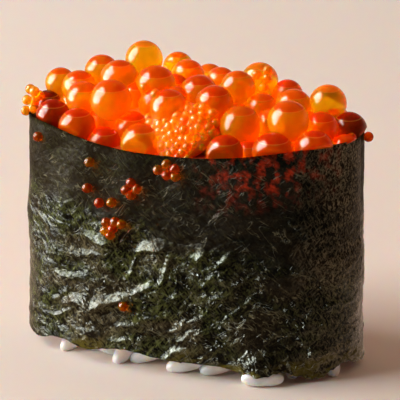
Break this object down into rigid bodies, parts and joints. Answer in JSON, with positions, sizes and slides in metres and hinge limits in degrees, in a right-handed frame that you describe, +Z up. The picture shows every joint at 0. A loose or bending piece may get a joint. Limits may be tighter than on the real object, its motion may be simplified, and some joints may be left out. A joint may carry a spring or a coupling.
{
  "type": "gunkan sushi",
  "caption": "Oval block of vinegared rice wrapped in an upright strip of toasted seaweed, heaped with salmon roe and a little flying fish roe.",
  "frame": {"origin": "middle of the base, on the surface that the rice stands on", "axes": "+X along the length of the oval, -Y towards the front, +Z up"},
  "size_m": [0.051, 0.0265, 0.0443],
  "materials": {
    "rice": "moist, slightly translucent cooked rice",
    "seaweed": "toasted, dark green to brown, crinkled, half glossy",
    "roe": "wet, glossy, translucent orange"
  },
  "bodies": {
    "root": {"rice": "rice", "seaweed": "seaweed", "salmon_roe": "roe"}
  },
  "joints": []
}
